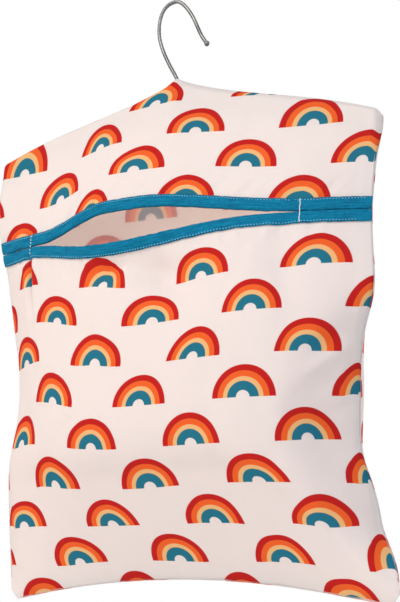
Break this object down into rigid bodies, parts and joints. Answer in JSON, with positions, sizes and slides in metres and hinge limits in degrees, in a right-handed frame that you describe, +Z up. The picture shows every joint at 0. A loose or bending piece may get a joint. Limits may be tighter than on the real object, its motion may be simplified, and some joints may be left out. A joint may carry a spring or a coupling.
{
  "type": "peg bag",
  "caption": "Cotton peg bag on a wooden hanger: a filled pocket with a tape-bound slit mouth under a yoke, hung from a swivelling wire hook.",
  "frame": {"origin": "underside of the hook's crown, where it bears on a line or rail", "axes": "+Z up along the hook's stem, +X to the right seen from the front, -Y the way the mouth faces"},
  "size_m": [0.3217, 0.1007, 0.4532],
  "materials": {
    "hook_steel": "bright plated wire",
    "hanger_wood": "clear varnish",
    "printed_cotton": "matt woven cotton with a printed rainbow pattern",
    "binding_tape": "matt woven bias tape",
    "tape_thread": "sewing thread",
    "tack_thread": "sewing thread"
  },
  "bodies": {
    "hook": {"hook_wire": "hook_steel", "hook_washer": "hook_steel"},
    "bag": {"hanger_bar": "hanger_wood", "back_panel": "printed_cotton", "front_yoke": "printed_cotton", "front_pocket": "printed_cotton", "left_side_seam": "printed_cotton", "right_side_seam": "printed_cotton", "left_shoulder_seam": "printed_cotton", "right_shoulder_seam": "printed_cotton", "bottom_seam": "printed_cotton", "upper_mouth_binding": "binding_tape", "lower_mouth_binding": "binding_tape", "upper_binding_stitching": "tape_thread", "lower_binding_stitching": "tape_thread", "left_mouth_tack": "tack_thread", "right_mouth_tack": "tack_thread"}
  },
  "joints": [
    {"name": "hook_swivel", "type": "hinge", "parent": "hook", "child": "bag", "pos_m": [0, 0, -0.08], "axis": [0, 0, 1], "continuous": true}
  ]
}
